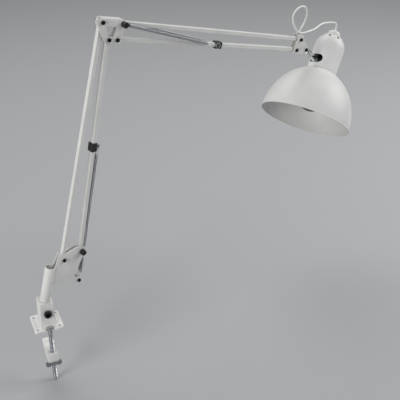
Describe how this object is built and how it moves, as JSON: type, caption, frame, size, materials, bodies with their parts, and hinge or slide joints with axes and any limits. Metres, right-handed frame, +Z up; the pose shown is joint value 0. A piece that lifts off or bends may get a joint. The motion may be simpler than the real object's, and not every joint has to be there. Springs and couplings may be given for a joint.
{
  "type": "desk lamp",
  "caption": "Swing arm desk lamp: clamp with leaning post, two parallel spring arms of square bars, folded brackets, and a domed shade hung on a tilting, swivelling fork link",
  "frame": {"origin": "middle of the clamp plate's underside, where it rests on the desk top", "axes": "+X along the desk edge toward the lamp head, +Y in over the desk, +Z up, square to the clamp plate"},
  "size_m": [0.6599, 0.2505, 0.5985],
  "materials": {
    "cast_white": "satin paint over a die casting",
    "rod_steel": "zinc plated",
    "knob_black": "moulded, matt",
    "jaw_steel": "satin paint",
    "bracket_white": "satin paint over folded sheet",
    "screw_black": "black oxide",
    "washer_nylon": "natural nylon",
    "bar_white": "satin paint over square tube",
    "clip_black": "moulded, matt",
    "spring_steel": "plated spring wire",
    "cord_white": "smooth cable jacket",
    "chrome_joint": "polished",
    "shade_white": "satin paint over spun sheet",
    "cap_white": "moulded",
    "holder_black": "phenolic",
    "bulb_glass": "clear",
    "cap_brass": "rolled thread"
  },
  "bodies": {
    "clamp": {"clamp_casting": "cast_white", "clamp_rod": "rod_steel"},
    "lock": {"lock_screw": "rod_steel", "lock_knob": "knob_black"},
    "jaw": {"clamp_jaw": "jaw_steel"},
    "wing_nut": {"clamp_nut": "rod_steel"},
    "base": {"base_bracket": "bracket_white", "post_pin": "rod_steel", "base_screws": "screw_black", "base_nuts": "rod_steel", "base_washers": "washer_nylon", "base_bolt": "rod_steel"},
    "base_grip": {"base_knob": "knob_black"},
    "outer_bar": {"lower_outer_bar": "bar_white"},
    "inner_bar": {"lower_inner_bar": "bar_white", "lower_spring_clip": "clip_black", "lower_clip_peg": "rod_steel"},
    "low_spring": {"lower_springs": "spring_steel", "lower_spring_hooks": "spring_steel"},
    "low_spring_end": {"lower_spring_eyes": "spring_steel"},
    "elbow": {"elbow_bracket": "bracket_white", "elbow_screws": "screw_black", "elbow_nuts": "rod_steel", "elbow_washers": "washer_nylon", "elbow_bolt": "rod_steel"},
    "elbow_grip": {"elbow_knob": "knob_black"},
    "top_bar": {"upper_top_bar": "bar_white"},
    "bottom_bar": {"upper_bottom_bar": "bar_white", "upper_spring_clip": "clip_black", "upper_clip_pegs": "rod_steel"},
    "high_spring": {"upper_springs": "spring_steel", "upper_spring_hooks": "spring_steel"},
    "high_spring_end": {"upper_spring_eyes": "spring_steel"},
    "head": {"head_bracket": "bracket_white", "head_screws": "screw_black", "head_nuts": "rod_steel", "head_washers": "washer_nylon", "cord_grommet": "clip_black", "cord_loop": "cord_white"},
    "knuckle": {"knuckle_eye": "chrome_joint", "cord_bridge": "cord_white"},
    "link": {"shade_link": "chrome_joint", "swivel_pin": "chrome_joint", "cord_drop": "cord_white"},
    "shade": {"shade_dome": "shade_white", "shade_neck": "shade_white", "neck_cap": "cap_white", "holder_stem": "rod_steel", "lamp_holder": "holder_black", "neck_bracket": "chrome_joint", "holder_ring": "holder_black", "bulb_glass": "bulb_glass", "bulb_cap": "cap_brass"}
  },
  "joints": [
    {"name": "base_swivel", "type": "hinge", "parent": "clamp", "child": "base", "pos_m": [0.00099, 0.00105, 0.04466], "axis": [0.2317, 0, 0.9728], "continuous": true},
    {"name": "lock_turn", "type": "hinge", "parent": "clamp", "child": "lock", "pos_m": [0.0012, -0.012, 0.0276], "axis": [0, -1, 0], "range_deg": [-180, 180]},
    {"name": "jaw_slide", "type": "slide", "parent": "clamp", "child": "jaw", "axis": [0, 0, 1], "range_m": [-0.02, 0.038]},
    {"name": "nut_turn", "type": "hinge", "parent": "jaw", "child": "wing_nut", "pos_m": [0.001, -0.02, -0.0655], "axis": [0, 0, 1], "continuous": true},
    {"name": "base_knob_turn", "type": "hinge", "parent": "base", "child": "base_grip", "pos_m": [0.06887, 0.0184, 0.11576], "axis": [0.3215, -0.9438, -0.0766], "range_deg": [-180, 180]},
    {"name": "lower_arm_lean", "type": "hinge", "parent": "base", "child": "outer_bar", "pos_m": [0.03705, 0.00783, 0.11255], "axis": [0.3215, -0.9438, -0.0766], "range_deg": [-32, 0.5]},
    {"name": "inner_bar_follow", "type": "hinge", "parent": "base", "child": "inner_bar", "pos_m": [0.06887, 0.0184, 0.11576], "axis": [0.3215, -0.9438, -0.0766], "range_deg": [-37.76, 2.56]},
    {"name": "elbow_follow", "type": "hinge", "parent": "outer_bar", "child": "elbow", "pos_m": [0.12357, 0.00677, 0.48874], "axis": [0.3215, -0.9438, -0.0766], "range_deg": [-2.62, 42]},
    {"name": "lower_spring_swing", "type": "hinge", "parent": "base", "child": "low_spring", "pos_m": [0.06014, 0.01989, 0.06079], "axis": [0.3215, -0.9438, -0.0766], "range_deg": [-29.64, 2.43]},
    {"name": "lower_spring_stretch", "type": "slide", "parent": "low_spring", "child": "low_spring_end", "axis": [0.2062, -0.0092, 0.9785], "range_m": [-0.01059, 0.00213], "deforming": ["lower_springs"]},
    {"name": "elbow_knob_turn", "type": "hinge", "parent": "elbow", "child": "elbow_grip", "pos_m": [0.15692, 0.0189, 0.47925], "axis": [0.3215, -0.9438, -0.0766], "range_deg": [-180, 180]},
    {"name": "upper_arm_lift", "type": "hinge", "parent": "elbow", "child": "top_bar", "pos_m": [0.15692, 0.0189, 0.47925], "axis": [0.3215, -0.9438, -0.0766], "range_deg": [-22, 20]},
    {"name": "bottom_bar_follow", "type": "hinge", "parent": "elbow", "child": "bottom_bar", "pos_m": [0.14596, 0.01691, 0.4577], "axis": [0.3215, -0.9438, -0.0766], "range_deg": [-23.96, 21.97]},
    {"name": "head_follow", "type": "hinge", "parent": "top_bar", "child": "head", "pos_m": [0.52021, 0.15143, 0.37111], "axis": [0.3215, -0.9438, -0.0766], "range_deg": [-26, 28.4]},
    {"name": "upper_spring_swing", "type": "hinge", "parent": "elbow", "child": "high_spring", "pos_m": [0.15692, 0.0189, 0.47925], "axis": [0.3215, -0.9438, -0.0766], "range_deg": [-24.17, 22.16]},
    {"name": "upper_spring_stretch", "type": "slide", "parent": "high_spring", "child": "high_spring_end", "axis": [0.8696, 0.3263, -0.3705], "range_m": [-0.01024, 0.01107], "deforming": ["upper_springs"]},
    {"name": "head_tilt", "type": "hinge", "parent": "head", "child": "knuckle", "pos_m": [0.53573, 0.15854, 0.34871], "axis": [0.3215, -0.9438, -0.0766], "range_deg": [-25, 45], "deforming": ["cord_loop"]},
    {"name": "shade_roll", "type": "hinge", "parent": "knuckle", "child": "link", "pos_m": [0.53573, 0.15854, 0.34871], "axis": [0.7161, 0.2953, -0.6325], "range_deg": [-60, 60], "deforming": ["cord_bridge"]},
    {"name": "shade_turn", "type": "hinge", "parent": "link", "child": "shade", "pos_m": [0.57297, 0.17389, 0.31582], "axis": [0.5158, 0.3867, 0.7645], "range_deg": [-21, 38], "deforming": ["cord_drop"]}
  ],
  "couplings": [
    {"joint": "nut_turn", "follows": "jaw_slide", "rad_per_m": 5026.5},
    {"joint": "inner_bar_follow", "follows": "lower_arm_lean", "ratio": 1.1175},
    {"joint": "elbow_follow", "follows": "lower_arm_lean", "ratio": -1.25},
    {"joint": "lower_spring_swing", "follows": "lower_arm_lean", "ratio": 0.86382},
    {"joint": "lower_spring_stretch", "follows": "lower_arm_lean", "m_per_rad": 0.015383},
    {"joint": "bottom_bar_follow", "follows": "upper_arm_lift", "ratio": 0.99825},
    {"joint": "head_follow", "follows": "upper_arm_lift", "ratio": -1.2},
    {"joint": "upper_spring_swing", "follows": "upper_arm_lift", "ratio": 1.0078},
    {"joint": "upper_spring_stretch", "follows": "upper_arm_lift", "m_per_rad": -0.023615}
  ]
}
